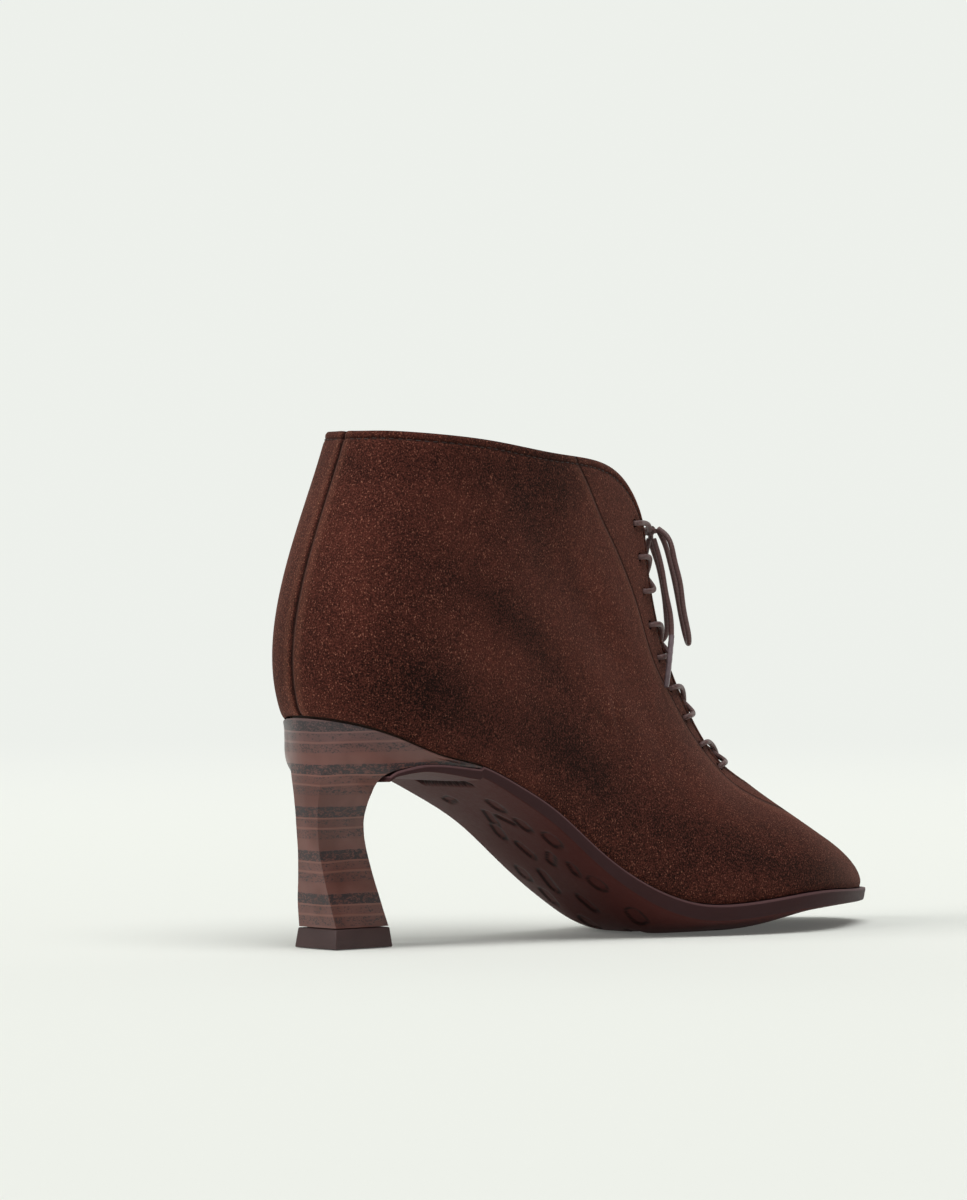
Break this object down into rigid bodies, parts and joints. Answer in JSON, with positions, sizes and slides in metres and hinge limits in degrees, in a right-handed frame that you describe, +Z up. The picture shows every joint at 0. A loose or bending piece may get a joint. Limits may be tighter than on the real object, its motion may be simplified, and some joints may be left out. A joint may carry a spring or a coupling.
{
  "type": "lace up ankle boot",
  "caption": "Low suede ankle boot with a pointed toe, a front lacing with a bow, an inner side zip and a sculpted, flared heel.",
  "frame": {"origin": "middle of the heel tip's bottom face, on the floor", "axes": "+X towards the toe, +Y towards the medial side with the zip, +Z up"},
  "size_m": [0.2389, 0.0768, 0.1552],
  "materials": {
    "suede": "dark brown suede with a short nap",
    "lining": "smooth brown lining leather",
    "sole_rubber": "moulded reddish brown sole, satin",
    "stacked_heel": "stacked layers, light and dark brown, satin",
    "tip_rubber": "dark brown, semi-matte",
    "waxed_cord": "round waxed cord, dull sheen",
    "aglet_film": "thin shiny film wrapped round the lace",
    "zip_cloth": "woven tape and nylon coil",
    "zip_metal": "polished nickel"
  },
  "bodies": {
    "boot": {"upper": "suede", "outsole": "sole_rubber", "heel": "stacked_heel", "heel_tip": "tip_rubber", "insole": "lining", "tongue": "lining", "lace_crossing_1": "waxed_cord", "lace_crossing_2": "waxed_cord", "lace_crossing_3": "waxed_cord", "lace_crossing_4": "waxed_cord", "lace_knot": "waxed_cord", "lace_loop_lateral": "waxed_cord", "lace_loop_medial": "waxed_cord", "lace_end_lateral": "waxed_cord", "lace_end_medial": "waxed_cord", "aglet_lateral": "aglet_film", "aglet_medial": "aglet_film", "zip_tape": "zip_cloth", "zip_coil": "zip_cloth", "zip_slider": "zip_metal"},
    "pull": {"zip_pull": "zip_metal"}
  },
  "joints": [
    {"name": "pull_swing", "type": "hinge", "parent": "boot", "child": "pull", "pos_m": [0.03014, 0.02919, 0.13879], "axis": [0.9982, 0.0399, -0.0457], "range_deg": [0, 150]}
  ]
}
